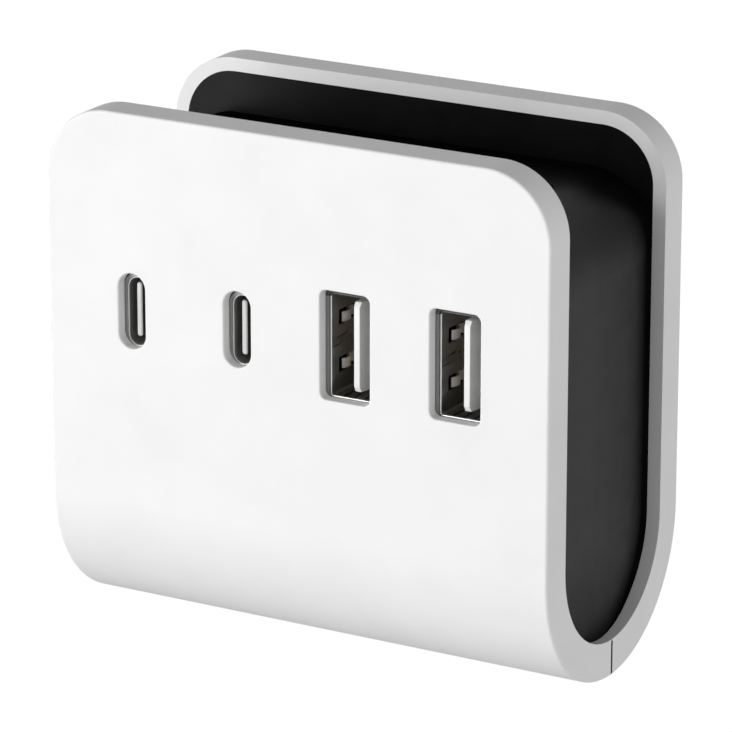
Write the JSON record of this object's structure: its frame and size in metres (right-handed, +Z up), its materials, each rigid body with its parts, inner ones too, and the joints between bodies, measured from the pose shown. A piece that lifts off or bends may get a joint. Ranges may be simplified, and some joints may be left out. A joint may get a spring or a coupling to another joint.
{
  "type": "under-desk charging unit",
  "caption": "White U-shaped cover lined in black and wrapped round a black core, with upright USB sockets in the front and fixings in the recessed top.",
  "frame": {"origin": "midway between the two threaded inserts, in the top face of the black core, where the unit meets what it hangs from", "axes": "+X along the unit towards the USB-A end, +Y from the front panel with the sockets to the back panel, +Z up out of the open top"},
  "size_m": [0.0672, 0.0336, 0.0651],
  "materials": {
    "white_cover": "fine satin moulded",
    "black_liner": "fine satin moulded",
    "black_core": "fine satin moulded",
    "screw_steel": "zinc plated",
    "insert_brass": "machined",
    "inlet_plastic": "moulded",
    "pin_metal": "nickel plated",
    "wire_brown": "insulation",
    "wire_blue": "insulation",
    "port_metal": "plated sheet",
    "tongue_white": "moulded",
    "tongue_grey": "moulded",
    "contact_gold": "gold flashed",
    "board_green": "solder mask",
    "header_black": "moulded",
    "ferrite": "sintered, dull",
    "winding_tape": "polyester tape",
    "capacitor_sleeve": "shrink sleeve",
    "film_case": "moulded case",
    "choke_ferrite": "epoxy coated ring",
    "copper": "enamelled wire",
    "fuse_glass": "clear",
    "fuse_metal": "plated",
    "chip_black": "moulded",
    "inductor_grey": "moulded ferrite",
    "spreader_metal": "mill"
  },
  "bodies": {
    "root": {"front_shell": "white_cover", "rear_shell": "white_cover", "inner_liner": "black_liner", "core_housing": "black_core", "housing_screws": "screw_steel", "fixing_inserts": "insert_brass", "power_inlet_body": "inlet_plastic", "power_inlet_pins": "pin_metal", "live_wire": "wire_brown", "neutral_wire": "wire_blue", "usb_c_port_1_shell": "port_metal", "usb_c_port_1_tongue": "tongue_grey", "usb_c_port_1_contacts": "contact_gold", "usb_c_port_2_shell": "port_metal", "usb_c_port_2_tongue": "tongue_grey", "usb_c_port_2_contacts": "contact_gold", "usb_a_port_1_shell": "port_metal", "usb_a_port_1_tongue": "tongue_white", "usb_a_port_1_contacts": "contact_gold", "usb_a_port_2_shell": "port_metal", "usb_a_port_2_tongue": "tongue_white", "usb_a_port_2_contacts": "contact_gold", "port_board": "board_green", "power_board": "board_green", "board_spacers": "insert_brass", "port_board_screws": "screw_steel", "power_board_screws": "screw_steel", "board_header": "header_black", "transformer_core": "ferrite", "transformer_winding": "winding_tape", "bulk_capacitors": "capacitor_sleeve", "output_capacitors": "capacitor_sleeve", "film_capacitor": "film_case", "choke_core": "choke_ferrite", "choke_windings": "copper", "fuse_body": "fuse_glass", "fuse_caps": "fuse_metal", "rectifier": "chip_black", "port_controllers": "chip_black", "port_inductors": "inductor_grey", "heat_spreader": "spreader_metal"}
  },
  "joints": []
}
